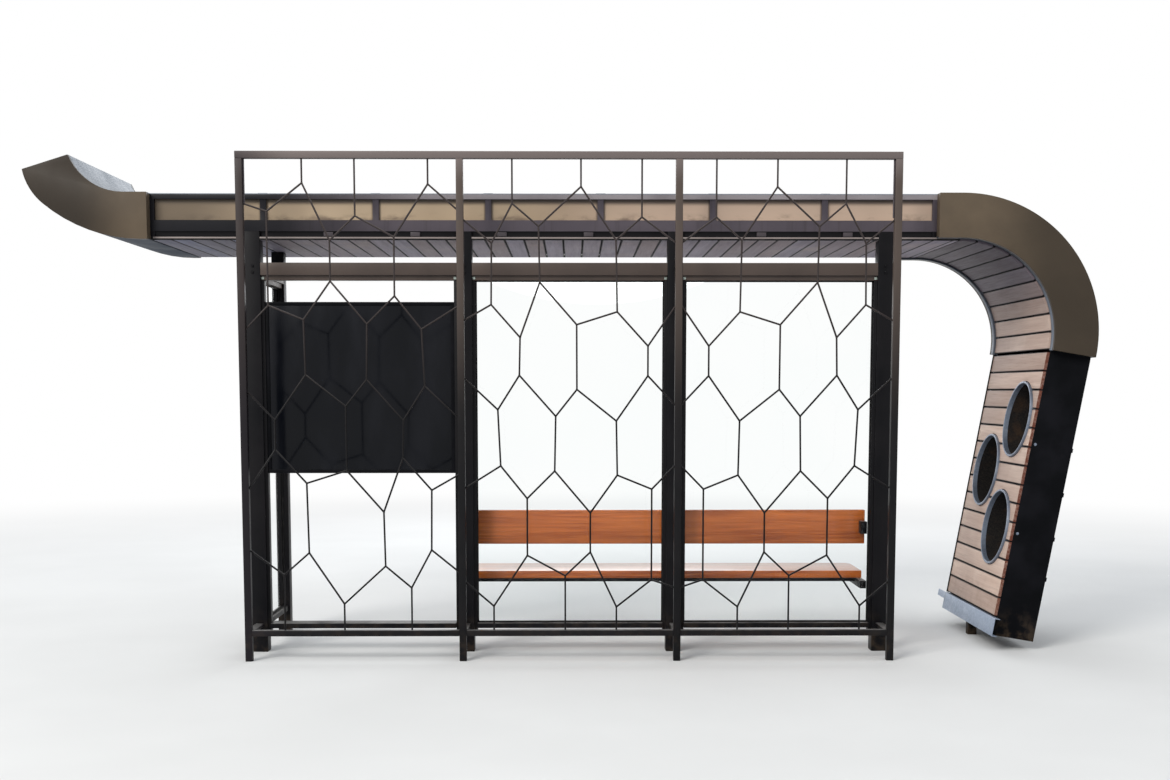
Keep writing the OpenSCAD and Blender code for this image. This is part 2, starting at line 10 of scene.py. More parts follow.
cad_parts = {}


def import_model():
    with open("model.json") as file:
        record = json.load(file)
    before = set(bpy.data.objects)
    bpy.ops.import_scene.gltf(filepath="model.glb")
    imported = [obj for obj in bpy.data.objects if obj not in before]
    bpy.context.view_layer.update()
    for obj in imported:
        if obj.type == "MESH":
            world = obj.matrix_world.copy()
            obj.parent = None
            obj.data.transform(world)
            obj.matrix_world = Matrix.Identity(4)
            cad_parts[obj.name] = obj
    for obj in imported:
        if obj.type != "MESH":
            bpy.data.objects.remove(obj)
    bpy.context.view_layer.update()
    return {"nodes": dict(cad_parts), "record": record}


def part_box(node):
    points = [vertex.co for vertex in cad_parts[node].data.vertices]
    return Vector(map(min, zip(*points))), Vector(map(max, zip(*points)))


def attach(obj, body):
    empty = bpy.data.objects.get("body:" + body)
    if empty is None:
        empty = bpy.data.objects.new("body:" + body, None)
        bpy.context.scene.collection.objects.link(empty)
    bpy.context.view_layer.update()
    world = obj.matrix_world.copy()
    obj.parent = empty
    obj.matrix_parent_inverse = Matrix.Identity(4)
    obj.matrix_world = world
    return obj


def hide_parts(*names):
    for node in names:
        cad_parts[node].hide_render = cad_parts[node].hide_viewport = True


X, Y, Z = 0, 1, 2

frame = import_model()
nodes = frame["nodes"]


def corners(node):
    """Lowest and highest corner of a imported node, to a tenth of a millimetre."""
    return [[round(value, 4) for value in corner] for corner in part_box(node)]


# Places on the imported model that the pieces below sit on
(LEFT_X, REAR_Y, BACK_Z), (RIGHT_X, _, _) = corners("rear_roof_frame")
FRONT_Y = corners("front_roof_frame")[1][Y]
ROOF_TOP = corners("arch_cheeks")[1][Z]
SOFFIT_START, _, SOFFIT_Z = corners("soffit_boards")[0]
(_, _, FASCIA_LOW), (_, _, FASCIA_TOP) = corners("fascia_panels")
(_, _, BASE_TOP), (_, PANE_HALF, HEAD_LOW) = corners("back_glass")
(_, SIDE_PANE_START, _), (_, SIDE_PANE_END, _) = corners("side_glass")
SKIN_Y = [corner[Y] for corner in corners("arch_skin")]
LEG_SIDE_Y = (corners("leg_side_rear")[0][Y], corners("leg_side_front")[1][Y])
(_, ROD_REAR, NET_LOW), (_, ROD_FRONT, NET_HIGH) = corners("trellis_net_1")
TRELLIS_Y = (ROD_REAR + ROD_FRONT) / 2
ROD_R = (ROD_FRONT - ROD_REAR) / 2
TRELLIS_HALF = corners("trellis_post_2")[1][X]
CHANNEL_HALF = corners("column_2")[1][X]

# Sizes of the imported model: columns, fields of the roof, and the set-back strip below them
BAY = 1.35
COLUMN_X = [(i - 1) * BAY for i in range(4)]
COLUMN_HALF = 0.049
FIELDS = 7
FIELD = (RIGHT_X - LEFT_X) / FIELDS
BATTEN_TOP = BACK_Z + 0.035

# Boards: their pitch and joints, and the share of the pitch that a joint takes up
SOFFIT_PITCH, LEG_PITCH = 0.1245, 0.125
BOARD_GAP, END_JOINT, LEG_JOINT = 0.008, 0.016, 0.012
FLAT_GAP_SHARE, ARCH_GAP_SHARE = 0.064, 0.074
ARCH_BOARDS = 9

# The curve: its centre line, outer radius and boards, and the leaning frame of the leg below it
ARCH_X, ARCH_R = corners("arch_boards")[0][X], 0.886
ARCH_Z = ROOF_TOP - ARCH_R
BOARD_R = ARCH_R - (ROOF_TOP - BACK_Z)
FACE_R = BOARD_R - (BACK_Z - SOFFIT_Z)
LEAN = math.radians(9.8)
ON_LEG = Matrix.Translation((ARCH_X, 0, ARCH_Z)) @ Matrix.Rotation(LEAN, 4, "Y")


def planter_place(node):
    """Y of a planter's axis, and how far down the leg it lies."""
    low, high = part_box(node)
    middle = ON_LEG.inverted() @ ((low + high) / 2)
    return round(middle.y, 3), round(-middle.z, 3)


PLANTERS = {node: planter_place(node) for node in ("planter_1", "planter_2", "planter_3")}


# Materials

def srgb(red, green, blue):
    """Linear colour of an sRGB triple from 0 to 255."""
    def linear(value):
        value = value / 255.0
        return value / 12.92 if value <= 0.04045 else ((value + 0.055) / 1.055) ** 2.4
    return (linear(red), linear(green), linear(blue), 1.0)


class Shader:
    """A material's node tree, with short calls for the nodes used here. Below, s is always one of these."""

    def __init__(self, name, roughness=0.5, metallic=0.0, specular=0.5):
        self.material = bpy.data.materials.new(name)
        self.material.use_nodes = True
        self.tree = self.material.node_tree
        self.bsdf = self.tree.nodes["Principled BSDF"]
        self.set("Roughness", roughness)
        self.set("Metallic", metallic)
        self.set("Specular IOR Level", specular)
        self.place = self.new("ShaderNodeTexCoord").outputs["Object"]
        self.normal = self.new("ShaderNodeNewGeometry").outputs["Normal"]

    def new(self, kind):
        return self.tree.nodes.new(kind)

    def set(self, socket, value):
        self.bsdf.inputs[socket].default_value = value

    def link(self, value, socket):
        """Links an output to a socket, or sets the socket to a plain value."""
        if isinstance(value, bpy.types.NodeSocket):
            self.tree.links.new(value, socket)
        else:
            socket.default_value = value

    def to(self, name, value):
        self.link(value, self.bsdf.inputs[name])

    def math(self, kind, first, second=0.0):
        node = self.new("ShaderNodeMath")
        node.operation = kind
        self.link(first, node.inputs[0])
        self.link(second, node.inputs[1])
        return node.outputs[0]

    def times(self, first, second):
        return self.math("MULTIPLY", first, second)

    def less(self, first, second):
        return self.math("SUBTRACT", first, second)

    def stretch(self, scale, turn=(0.0, 0.0, 0.0)):
        node = self.new("ShaderNodeMapping")
        node.inputs["Scale"].default_value = scale
        node.inputs["Rotation"].default_value = turn
        self.link(self.place, node.inputs["Vector"])
        return node.outputs[0]

    def noise(self, scale, detail=4.0, rough=0.55, vector=None, distort=0.0):
        node = self.new("ShaderNodeTexNoise")
        node.inputs["Scale"].default_value = scale
        node.inputs["Detail"].default_value = detail
        node.inputs["Roughness"].default_value = rough
        node.inputs["Distortion"].default_value = distort
        self.link(vector or self.place, node.inputs["Vector"])
        return node.outputs["Fac"]

    def streaked(self, scale, detail=4.0, rough=0.55, distort=0.0, turn=(0.0, 0.0, 0.0)):
        """Noise whose scale differs along X, Y and Z."""
        return self.noise(1.0, detail, rough, self.stretch(scale, turn), distort)

    def cells(self, scale):
        node = self.new("ShaderNodeTexVoronoi")
        node.inputs["Scale"].default_value = scale
        self.link(self.place, node.inputs["Vector"])
        return node.outputs["Color"]

    def part(self, vector, axis):
        node = self.new("ShaderNodeSeparateXYZ")
        self.link(vector, node.inputs[0])
        return node.outputs[axis]

    def at(self, axis):
        """The surface point's coordinate along an axis."""
        return self.part(self.place, axis)

    def ramp(self, value, low, high, start=0.0, end=1.0):
        """Maps value between low and high to start and end, smoothly and held beyond."""
        node = self.new("ShaderNodeMapRange")
        node.interpolation_type = "SMOOTHSTEP"
        self.link(value, node.inputs["Value"])
        for name, setting in (("From Min", low), ("From Max", high), ("To Min", start), ("To Max", end)):
            node.inputs[name].default_value = setting
        return node.outputs[0]

    def mix(self, share, below, above, mode="MIX"):
        """Lays one colour over another; the node has its colour sockets behind those of other types."""
        node = self.new("ShaderNodeMix")
        node.data_type = "RGBA"
        node.blend_type = mode
        first_colour, second_colour, colour_out = 6, 7, 2
        self.link(share, node.inputs[0])
        self.link(below, node.inputs[first_colour])
        self.link(above, node.inputs[second_colour])
        return node.outputs[colour_out]

    def random(self, value):
        node = self.new("ShaderNodeTexWhiteNoise")
        node.noise_dimensions = "1D"
        self.link(value, node.inputs["W"])
        return node.outputs["Value"]

    def bump(self, height, strength, distance=0.001):
        node = self.new("ShaderNodeBump")
        node.inputs["Strength"].default_value = strength
        node.inputs["Distance"].default_value = distance
        self.link(height, node.inputs["Height"])
        self.to("Normal", node.outputs[0])

    def upward(self):
        return self.ramp(self.part(self.normal, Z), 0.5, 0.95)

    def soil(self, base, dust_and_sheen, dirt):
        """Pale dust where the surface faces up, partly a painted sky reflection on top faces, and brown
        splashes low down.
        """
        lying = self.times(self.upward(), self.ramp(self.noise(5.0, 8.0, 0.65), 0.25, 0.75))
        base = self.mix(self.times(lying, dust_and_sheen), base, srgb(168, 166, 164))
        splash = self.ramp(self.noise(16.0, 6.0), 0.42, 0.66)
        low = self.times(self.ramp(self.at(Z), 0.32, 0.0), splash)
        return self.mix(self.times(low, dirt), base, srgb(112, 94, 74))

    def orange_peel(self):
        self.bump(self.noise(170.0, 2.0), 0.1, 0.0004)


def painted(name, colour, second, roughness=0.42, specular=0.3, dust_and_sheen=0.0, dirt=0.0, streaks=0.0, painted_light_bands=()):
    """Painted steel with clouding, orange peel and run marks.

    The bands are painted light and shade, each a mask and a colour.
    """
    s = Shader(name, roughness, specular=specular)
    cloud = s.noise(2.6, 5.0)
    base = s.mix(s.ramp(cloud, 0.35, 0.7, 0.0, 0.7), colour, second)
    if streaks:
        run = s.streaked((30.0, 30.0, 1.1), 5.0)
        base = s.mix(s.ramp(run, 0.52, 0.76, 0.0, streaks), base, srgb(46, 40, 36))
    # Painted light and shade laid over the paint
    for mask, tone in painted_light_bands:
        base = s.mix(mask(s), base, tone)
    s.to("Base Color", s.soil(base, dust_and_sheen, dirt))
    s.to("Roughness", s.ramp(cloud, 0.3, 0.7, roughness - 0.07, roughness + 0.1))
    s.orange_peel()
    return s.material


def along(axis, start, end, share=1.0):
    """A mask that grows from 0 at one coordinate to share at another."""
    return lambda s: s.ramp(s.at(axis), start, end, 0.0, share)


def lit_top_bar(s):
    """Painted highlight on the roof frame's upper bar, except at its shaded left end."""
    bar = s.ramp(s.at(Z), FASCIA_TOP - 0.002, FASCIA_TOP + 0.002)
    lit = s.times(s.ramp(s.at(X), -1.3, 0.4), s.ramp(s.noise(1.3, 4.0), 0.3, 0.6, 0.45, 1.0))
    return s.times(bar, lit)


def fascia_paint(name):
    """Bronze panels in painted sunlight, with painted shade at the left, under the top bar and by the
    uprights; grime low.
    """
    s = Shader(name, 0.4, specular=0.3)
    blot = s.streaked((5.0, 5.0, 11.0), 5.0, 0.6)
    # Painted sunlight: the cheeks' bronze made lighter, and lighter still towards the right
    base = s.mix(s.ramp(s.noise(0.9, 3.0), 0.35, 0.7), srgb(196, 172, 142), srgb(160, 138, 112))
    base = s.mix(s.ramp(s.at(X), 0.2, 1.4, 0.0, 0.6), base, srgb(226, 196, 174))
    smudge = s.times(s.ramp(s.at(Z), FASCIA_LOW + 0.062, FASCIA_LOW + 0.002), s.ramp(blot, 0.47, 0.7))
    base = s.mix(s.times(smudge, 0.75), base, srgb(84, 68, 60))
    # Painted shadow below the top bar
    base = s.mix(s.ramp(s.at(Z), FASCIA_TOP - 0.043, FASCIA_TOP - 0.01, 0.0, 0.85), base, srgb(40, 35, 34))
    # Painted shade beside the uprights
    from_upright = s.math("PINGPONG", s.less(s.at(X), LEFT_X), FIELD / 2)
    base = s.mix(s.ramp(from_upright, 0.034, 0.02, 0.0, 0.7), base, srgb(58, 50, 46))
    # Painted shade at the left end
    base = s.mix(s.ramp(s.at(X), -0.8, -1.8, 0.0, 0.85), base, srgb(96, 83, 67))
    s.to("Base Color", base)
    s.to("Roughness", s.ramp(blot, 0.3, 0.7, 0.34, 0.5))
    s.orange_peel()
    return s.material


def moved_by_board(s, tone):
    """The surface point, shifted along Y by an amount of each board's own, so that no two boards match."""
    furthest = 9.0
    shift = s.new("ShaderNodeCombineXYZ")
    s.link(s.times(tone, furthest), shift.inputs[Y])
    moved = s.new("ShaderNodeVectorMath")
    s.link(s.place, moved.inputs[0])
    s.link(shift.outputs[0], moved.inputs[1])
    return moved.outputs[0]


def boards(name, count, gap, pale, deep, ends=None, splashed=False, painted_shade=()):
    """Brushed composite boards along Y: a tone for each, dirt by the joints, ends of their own colour.

    count is a function that gives the board's number plus the share of its pitch, gap is the joint's
    share of the pitch, and painted_shade holds masks of painted shade with the colours that they multiply by.
    """
    s = Shader(name, 0.6, specular=0.3)
    running = count(s)
    tone = s.random(s.math("FLOOR", running))
    share = s.math("FRACT", running)
    dirt_start, dirt_full = 0.055, 0.015
    first_side = s.ramp(share, dirt_start, dirt_full)
    second_side = s.ramp(share, 1 - gap - dirt_start, 1 - gap - dirt_full)
    edge = s.math("MAXIMUM", first_side, second_side)
    plain, s.place = s.place, moved_by_board(s, tone)
    grain = s.streaked((230.0, 4.0, 230.0), 6.0, 0.7)
    coarse = s.streaked((30.0, 1.3, 30.0), 4.0, 0.6)
    blot = s.noise(2.2, 3.0)
    s.place = plain
    base = s.mix(s.ramp(coarse, 0.3, 0.72, 0.0, 0.7), pale, deep)
    base = s.mix(s.ramp(tone, 0.0, 1.0, 0.0, 0.6), base, srgb(160, 136, 124))
    base = s.mix(s.ramp(blot, 0.5, 0.75, 0.0, 0.35), base, srgb(226, 206, 190))
    base = s.mix(s.ramp(grain, 0.5, 0.78, 0.0, 0.45), base, srgb(112, 90, 82))
    # Painted shade, multiplied in
    for mask, shade in painted_shade:
        base = s.mix(mask(s), base, shade, "MULTIPLY")
    base = s.mix(s.times(edge, 0.92), base, srgb(32, 27, 30))
    if ends:
        cut = s.ramp(s.math("ABSOLUTE", s.part(s.normal, Y)), 0.6, 0.9)
        base = s.mix(s.times(cut, s.ramp(s.noise(60.0, 4.0), 0.3, 0.6, 0.7, 1.0)), base, ends)
    if splashed:
        low = s.times(s.ramp(s.at(Z), 0.6, 0.2), s.ramp(s.noise(11.0, 5.0), 0.4, 0.7))
        base = s.mix(s.times(low, 0.3), base, srgb(150, 122, 100))
    s.to("Base Color", base)
    s.to("Roughness", s.ramp(grain, 0.3, 0.7, 0.5, 0.7))
    s.bump(grain, 0.4, 0.0008)
    return s.material


def flat_count(s):
    """Number of a board of the flat roof, from its left end."""
    return s.times(s.less(s.at(X), SOFFIT_START), 1 / SOFFIT_PITCH)


def leg_count(s):
    """Number of a board of the leg, from its upper end."""
    across = s.times(s.less(s.at(X), ARCH_X), math.sin(LEAN))
    up = s.math("ADD", across, s.times(s.less(s.at(Z), ARCH_Z), math.cos(LEAN)))
    return s.times(s.less(-LEG_JOINT, up), 1 / LEG_PITCH)


def arch_count(s):
    """Number of a board of the curve, from its upper end."""
    angle = s.math("ARCTAN2", s.less(s.at(X), ARCH_X), s.less(s.at(Z), ARCH_Z))
    return s.times(angle, ARCH_BOARDS / (math.radians(90) + LEAN))


def shaded_upper_curve(s):
    """1 on the curve's upper boards, which get a painted slate-blue shade, and 0 on its lower ones."""
    return s.ramp(s.math("FLOOR", arch_count(s)), 4.0, 7.0, 1.0, 0.0)


def bench_wood(name):
    """Oiled orange-brown planks: long figure along X, fine pores, a clear coat and a painted sky reflection
    on top.
    """
    s = Shader(name, 0.38, specular=0.25)
    warp = s.streaked((0.8, 6.0, 6.0), 3.0)
    rings = s.streaked((1.3, 42.0, 42.0), 8.0, 0.65, distort=1.4)
    pores = s.streaked((16.0, 520.0, 520.0), 3.0, 0.8)
    fleck = s.streaked((5.0, 160.0, 160.0), 4.0, 0.7)
    base = s.mix(s.ramp(rings, 0.32, 0.66), srgb(198, 104, 40), srgb(138, 60, 17))
    base = s.mix(s.ramp(warp, 0.35, 0.7, 0.0, 0.6), base, srgb(206, 110, 44))
    base = s.mix(s.ramp(pores, 0.56, 0.75, 0.0, 0.45), base, srgb(92, 42, 20))
    base = s.mix(s.ramp(fleck, 0.5, 0.72, 0.0, 0.35), base, srgb(224, 134, 62))
    # Painted reflection of the sky on the upward faces
    base = s.mix(s.times(s.upward(), 0.35), base, srgb(228, 208, 192))
    s.to("Base Color", base)
    s.to("Roughness", s.ramp(rings, 0.3, 0.7, 0.32, 0.46))
    s.bump(pores, 0.25, 0.0004)
    s.set("Coat Weight", 0.5)
    s.set("Coat Roughness", 0.15)
    s.set("Coat IOR", 1.5)
    return s.material


def zinc(name, pale, deep, metallic=0.5):
    """Zinc coat: spangle cells, clouding and dull run marks."""
    s = Shader(name, 0.42, metallic)
    spangle = s.part(s.cells(85.0), X)
    cloud = s.noise(6.0, 5.0)
    run = s.streaked((24.0, 24.0, 2.0))
    base = s.mix(s.ramp(spangle, 0.0, 1.0, 0.0, 0.35), pale, deep)
    base = s.mix(s.ramp(cloud, 0.5, 0.8, 0.0, 0.45), base, srgb(188, 196, 206))
    base = s.mix(s.ramp(run, 0.56, 0.72, 0.0, 0.3), base, srgb(112, 118, 126))
    s.to("Base Color", base)
    s.to("Roughness", s.ramp(spangle, 0.0, 1.0, 0.34, 0.52))
    s.bump(s.noise(40.0, 3.0), 0.08, 0.0006)
    return s.material


def clear_glass(name):
    """A clear pane with a breath of dust that thickens towards its lower edge."""
    s = Shader(name, 0.0)
    low = s.ramp(s.at(Z), 0.7, BASE_TOP)
    film = s.times(s.ramp(s.noise(5.0, 6.0), 0.4, 0.75), s.math("ADD", s.times(low, 0.08), 0.02))
    s.to("Base Color", s.mix(s.ramp(s.noise(1.2, 2.0), 0.4, 0.6), srgb(222, 240, 236), srgb(232, 244, 240)))
    s.to("Alpha", s.math("ADD", film, 0.13))
    s.set("Transmission Weight", 1.0)
    s.set("IOR", 1.0)
    s.set("Coat Weight", 1.0)
    s.set("Coat Roughness", 0.02)
    s.set("Coat IOR", 1.5)
    return s.material


def black_gloss(name):
    """Black display board, faintly smeared."""
    s = Shader(name, 0.16, specular=0.14)
    smear = s.noise(3.0, 4.0, vector=s.stretch((1.0, 1.0, 0.35)))
    s.to("Base Color", s.mix(s.ramp(smear, 0.4, 0.7), srgb(10, 12, 17), srgb(24, 25, 30)))
    s.to("Roughness", s.ramp(smear, 0.4, 0.7, 0.1, 0.24))
    return s.material


def primed_black(name):
    """Bare leg steel: black primer with scuffs along the leg, dust and brown splashes."""
    s = Shader(name, 0.6, specular=0.06)
    scuff = s.streaked((40.0, 40.0, 3.0), 6.0, 0.7, turn=(0.0, -LEAN, 0.0))
    cloud = s.noise(4.0, 6.0)
    base = s.mix(s.ramp(cloud, 0.4, 0.7), srgb(7, 8, 11), srgb(21, 21, 25))
    base = s.mix(s.ramp(scuff, 0.66, 0.78, 0.0, 0.3), base, srgb(78, 74, 70))
    s.to("Base Color", s.soil(base, 0.3, 0.35))
    s.to("Roughness", s.ramp(cloud, 0.3, 0.7, 0.45, 0.65))
    s.bump(s.noise(90.0, 3.0), 0.15, 0.0005)
    return s.material


def rubber(name, colour, roughness=0.75):
    """Rubber or plastic, worn grey in patches."""
    s = Shader(name, roughness, specular=0.2)
    worn = s.noise(24.0, 5.0)
    s.to("Base Color", s.mix(s.ramp(worn, 0.4, 0.75, 0.0, 0.6), colour, srgb(60, 58, 56)))
    s.bump(s.noise(260.0, 2.0), 0.3, 0.0005)
    return s.material


def felt(name):
    """Liner of the planters: matted dark fibre with damp brown patches."""
    s = Shader(name, 0.95, specular=0.1)
    mat = s.noise(120.0, 5.0, 0.7)
    damp = s.noise(7.0, 4.0)
    base = s.mix(s.ramp(mat, 0.35, 0.7), srgb(24, 24, 26), srgb(48, 44, 40))
    s.to("Base Color", s.mix(s.ramp(damp, 0.45, 0.7, 0.0, 0.7), base, srgb(66, 50, 38)))
    s.bump(mat, 0.6, 0.002)
    return s.material


# Painted light and shade that change along a piece, each a mask and a colour
# The trellis: painted light on its upper half and top rail, painted shade at its left end
TRELLIS_PAINTED_LIGHT = [
    (along(Z, 1.4, 2.6, 0.9), srgb(90, 79, 72)),
    (along(Z, 2.95, 3.14, 0.6), srgb(132, 121, 118)),
    (along(X, -1.0, -1.4, 0.7), srgb(36, 32, 36)),
]
# The net: painted light on its upper half
NET_PAINTED_LIGHT = [(along(Z, 1.4, 2.6, 0.85), srgb(66, 58, 56))]
# The roof frame: painted shade at its left end, a painted highlight on its top bar and painted shade on the
# set-back strip below the lower bar
ROOF_FRAME_PAINTED_LIGHT = [
    (along(X, -0.2, -1.4, 0.95), srgb(10, 12, 17)),
    (lit_top_bar, srgb(164, 156, 157)),
    (along(Z, BATTEN_TOP + 0.0015, BATTEN_TOP - 0.0005), srgb(16, 15, 18)),
]
# The bronze cheeks: painted shade towards the left and right ends
BRONZE_PAINTED_SHADE = [
    (along(X, -2.0, -2.45, 0.85), srgb(46, 41, 36)),
    (along(X, 3.25, 3.75, 0.75), srgb(52, 45, 37)),
]
# The curve's trims: painted shade on their upper part
CURVE_TRIM_PAINTED_SHADE = [(along(Z, 2.15, 2.6), srgb(52, 58, 68))]
# Flat boards: painted shade towards the left end and towards the far, road side
SOFFIT_PAINTED_SHADE = [
    (along(X, -0.8, -1.7), srgb(176, 186, 204)),
    (along(Y, 0.3, 1.0), srgb(212, 210, 216)),
]
# Curve boards: painted shade on the upper boards
ARCH_PAINTED_SHADE = [(shaded_upper_curve, srgb(130, 136, 158))]
# Leg boards: painted shade at their upper end, below the curve
LEG_PAINTED_SHADE = [(along(Z, 1.5, 2.05), srgb(222, 217, 216))]
TAN, TAN_DEEP, TAN_CUT = srgb(228, 202, 184), srgb(200, 170, 152), srgb(104, 54, 38)
# The flat boards' colours: the same tan boards as the curve's and leg's, darkened and cooled as painted shade
SHADED_TAN, SHADED_TAN_DEEP = srgb(192, 182, 192), srgb(152, 144, 156)

# A finish for each of the record's material slots
MATERIALS = {
    # Trellis paint, darkened as painted shade, with the painted light and shade of its bands
    "trellis_steel": painted("trellis_paint", srgb(17, 17, 19), srgb(28, 26, 27), specular=0.14,
                             dust_and_sheen=0.5, dirt=0.12, painted_light_bands=TRELLIS_PAINTED_LIGHT),
    # Frame paint, darkened as painted shade; the beams carry a lighter, lit copy of it
    "frame_steel": painted("frame_paint", srgb(13, 13, 16), srgb(25, 23, 25), specular=0.12,
                           dust_and_sheen=0.4, dirt=0.2),
    "roof_frame_steel": painted("roof_frame_paint", srgb(82, 75, 81), srgb(94, 86, 92), specular=0.16,
                                dust_and_sheen=0.5, streaks=0.3, painted_light_bands=ROOF_FRAME_PAINTED_LIGHT),
    "bronze_sheet": painted("bronze_paint", srgb(106, 92, 75), srgb(88, 77, 64), specular=0.14,
                            dust_and_sheen=0.12, painted_light_bands=BRONZE_PAINTED_SHADE),
    "roof_sheet": painted("roof_paint", srgb(136, 144, 154), srgb(120, 128, 138), 0.45,
                          dust_and_sheen=0.25, streaks=0.15),
    "slate_sheet": painted("slate_paint", srgb(62, 70, 81), srgb(72, 79, 90), 0.6, specular=0.1, dust_and_sheen=0.15),
    "composite_boards": boards("soffit_board", flat_count, FLAT_GAP_SHARE, SHADED_TAN, SHADED_TAN_DEEP,
                               painted_shade=SOFFIT_PAINTED_SHADE),
    "black_steel": primed_black("leg_primer"),
    "galvanised_steel": zinc("zinc", srgb(158, 170, 188), srgb(126, 140, 160)),
    "bench_timber": bench_wood("bench_wood"),
    "clear_glass": clear_glass("pane"),
    "black_panel": black_gloss("display_gloss"),
}
# Net paint, darkened as painted shade, lighter on its upper half as painted light
NET_PAINT = painted("net_paint", srgb(15, 14, 16), srgb(26, 24, 25), 0.4, specular=0.16,
                    dust_and_sheen=0.3, painted_light_bands=NET_PAINTED_LIGHT)
# The frame's paint, made lighter as painted light on the beams
LIT_BEAM_PAINT = painted("beam_paint_lit", srgb(84, 72, 65), srgb(70, 60, 55), 0.4, specular=0.25, dust_and_sheen=0.4)
EDGE_STRIP = painted("edge_strip_paint", srgb(150, 138, 132), srgb(128, 118, 114), 0.4)
CLIP_PAINT = painted("clip_block_paint", srgb(74, 67, 70), srgb(60, 54, 57), 0.45, dust_and_sheen=0.2)
PLANTER_ZINC = zinc("planter_zinc", srgb(128, 138, 154), srgb(96, 106, 122), 0.6)
RUBBER = rubber("gasket_rubber", srgb(18, 18, 19))
CLIP = rubber("clip_plastic", srgb(176, 186, 176), 0.5)
LINER = felt("liner_felt")

# Nodes whose finish differs from that of their slot
OWN_FINISH = {
    "arch_boards": boards("arch_board", arch_count, ARCH_GAP_SHARE, TAN, TAN_DEEP, painted_shade=ARCH_PAINTED_SHADE),
    "leg_boards": boards("leg_board", leg_count, FLAT_GAP_SHARE, TAN, TAN_DEEP, ends=TAN_CUT,
                         splashed=True, painted_shade=LEG_PAINTED_SHADE),
    "arch_trims": painted("curve_trim_paint", srgb(124, 132, 142), srgb(104, 114, 128), 0.4,
                          dust_and_sheen=0.1, painted_light_bands=CURVE_TRIM_PAINTED_SHADE),
    "fascia_panels": fascia_paint("fascia_bronze_painted_light"),
    "back_beam": LIT_BEAM_PAINT,
    "side_beam": LIT_BEAM_PAINT,
    "planter_1": PLANTER_ZINC,
    "planter_2": PLANTER_ZINC,
    "planter_3": PLANTER_ZINC,
}
SLOTS = {entry["node"]: entry["material_slot"] for entry in frame["record"]["subparts"]}


def finish_of(node):
    return OWN_FINISH.get(node, MATERIALS[SLOTS[node]])


for name, obj in nodes.items():
    obj.data.materials.clear()
    obj.data.materials.append(finish_of(name))


# Mesh helpers

BEVEL = {"segments": 2, "affect": "EDGES", "profile": 0.6}
# A bolt's washer and head, the top and radius of each, as shares of the thread's diameter
WASHER_TOP, WASHER_R, HEAD_TOP, HEAD_R = 0.14, 0.85, 0.62, 0.56
# A rivet's head, as shares of its radius: its depth in the sheet, its shoulder, its top and its upper ring
RIVET_DEPTH, RIVET_SHOULDER, RIVET_TOP, RIVET_UPPER_R = 0.2, 0.35, 0.6, 0.82


def new_piece(name, bm, slot, material=None, smooth_angle=40):
    """Turns a bmesh, drawn in the part's own frame, into a piece that rides on the shelter."""
    bmesh.ops.recalc_face_normals(bm, faces=bm.faces)
    mesh = bpy.data.meshes.new(name)
    bm.to_mesh(mesh)
    bm.free()
    mesh.materials.append(material or MATERIALS[slot])
    obj = bpy.data.objects.new(name, mesh)
    bpy.context.scene.collection.objects.link(obj)
    mesh.shade_smooth()
    mesh.set_sharp_from_angle(angle=math.radians(smooth_angle))
    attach(obj, "root")
    return obj


def add_box(bm, low, high, bevel=0.0, turn=None):
    """A box between two corners, its edges bevelled, optionally turned by a matrix."""
    low, high = Vector(low), Vector(high)
    made = bmesh.ops.create_cube(bm, size=1.0)["verts"]
    place = Matrix.Translation((low + high) / 2) @ Matrix.Diagonal((high - low).to_4d())
    bmesh.ops.transform(bm, matrix=place, verts=made)
    if bevel:
        edges = list({edge for vert in made for edge in vert.link_edges})
        out = bmesh.ops.bevel(bm, geom=edges, offset=bevel, **BEVEL)
        kept = {vert for vert in made if vert.is_valid}
        made = list({vert for face in out["faces"] for vert in face.verts} | kept)
    if turn is not None:
        bmesh.ops.transform(bm, matrix=turn, verts=made)


def add_round(bm, start, end, radius, segments=10, dome=0.0):
    """A shank or head from start to end; dome narrows its far end."""
    start, end = Vector(start), Vector(end)
    axis = end - start
    made = bmesh.ops.create_cone(bm, cap_ends=True, segments=segments, radius1=radius,
                                 radius2=radius * (1 - dome), depth=axis.length)["verts"]
    turn = axis.to_track_quat("Z", "Y").to_matrix().to_4x4()
    bmesh.ops.transform(bm, matrix=Matrix.Translation((start + end) / 2) @ turn, verts=made)


def add_bolt(bm, place, outward, size):
    """A washer and a domed hexagon head on a face; size is the thread's diameter, which sets the rest."""
    place, outward = Vector(place), Vector(outward).normalized()
    washer_top = place + outward * size * WASHER_TOP
    add_round(bm, place, washer_top, size * WASHER_R, segments=16)
    add_round(bm, washer_top, place + outward * size * HEAD_TOP, size * HEAD_R, segments=6, dome=0.12)


def add_rivet(bm, place, outward, radius=0.0045):
    """A low domed head in two rings."""
    place, outward = Vector(place), Vector(outward).normalized()
    sunk = place - outward * radius * RIVET_DEPTH
    shoulder = place + outward * radius * RIVET_SHOULDER
    top = place + outward * radius * RIVET_TOP
    add_round(bm, sunk, shoulder, radius, segments=12, dome=0.18)
    add_round(bm, shoulder, top, radius * RIVET_UPPER_R, segments=12, dome=0.5)


def circle(segments):
    """Cosine and sine of each of a circle's corners."""
    angles = (2 * math.pi * k / segments for k in range(segments))
    return [(math.cos(angle), math.sin(angle)) for angle in angles]


